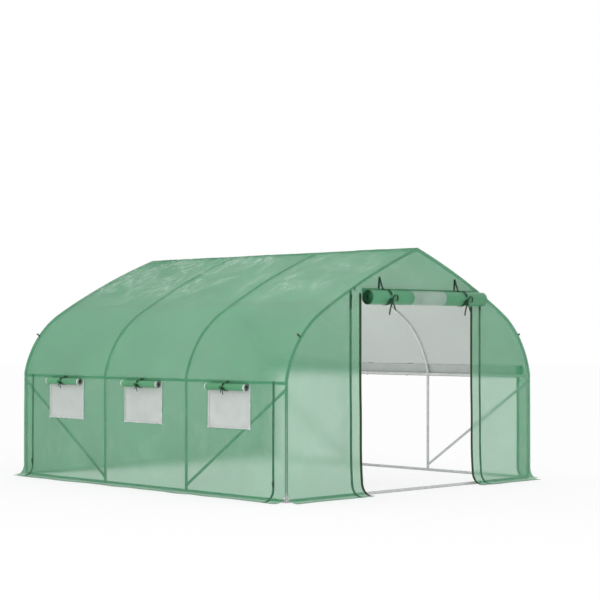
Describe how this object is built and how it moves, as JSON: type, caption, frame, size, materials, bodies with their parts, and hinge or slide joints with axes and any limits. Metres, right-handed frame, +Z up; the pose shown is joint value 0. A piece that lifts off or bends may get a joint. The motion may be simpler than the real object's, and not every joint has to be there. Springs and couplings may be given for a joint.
{
  "type": "polytunnel greenhouse",
  "caption": "Walk-in polytunnel greenhouse: pointed hoops of steel tube under a translucent green film cover, with mesh windows, flared ground flaps, and its door and one side rolled up.",
  "frame": {"origin": "centre of the footprint, at ground level", "axes": "+Y runs along the ridge from the door end to the back, +X points to the rolled-up side, +Z is up"},
  "size_m": [3.2372, 3.7169, 2.0003],
  "materials": {
    "steel_tube": "galvanised, dull",
    "green_film": "translucent woven film, soft sheen",
    "window_mesh": "fine pale mesh",
    "zip_tape": "dark green zip and tape",
    "edge_tape": "dark olive binding tape",
    "tie_cord": "dark green cord"
  },
  "bodies": {
    "root": {"left_legs": "steel_tube", "right_legs": "steel_tube", "left_shoulder_bends": "steel_tube", "right_shoulder_bends": "steel_tube", "left_rafters": "steel_tube", "right_rafters": "steel_tube", "ridge_tube": "steel_tube", "left_purlin": "steel_tube", "right_purlin": "steel_tube", "left_ground_rail": "steel_tube", "right_ground_rail": "steel_tube", "front_ground_rail": "steel_tube", "back_ground_rail": "steel_tube", "left_braces": "steel_tube", "right_braces": "steel_tube", "left_roof_cover": "green_film", "right_roof_cover": "green_film", "left_shoulder_cover": "green_film", "right_shoulder_cover": "green_film", "left_wall": "green_film", "left_end_strips": "green_film", "right_end_strips": "green_film", "front_left_panel": "green_film", "front_right_panel": "green_film", "front_gable": "green_film", "back_wall": "green_film", "left_flap": "green_film", "right_flaps": "green_film", "front_flaps": "green_film", "back_flap": "green_film", "door_roll": "green_film", "side_roll": "green_film", "window_rolls": "green_film", "window_meshes": "window_mesh", "left_zips": "zip_tape", "right_zips": "zip_tape", "door_zips": "zip_tape", "door_edge_tapes": "edge_tape", "door_ties": "tie_cord", "window_ties": "tie_cord", "side_ties": "tie_cord"}
  },
  "joints": []
}
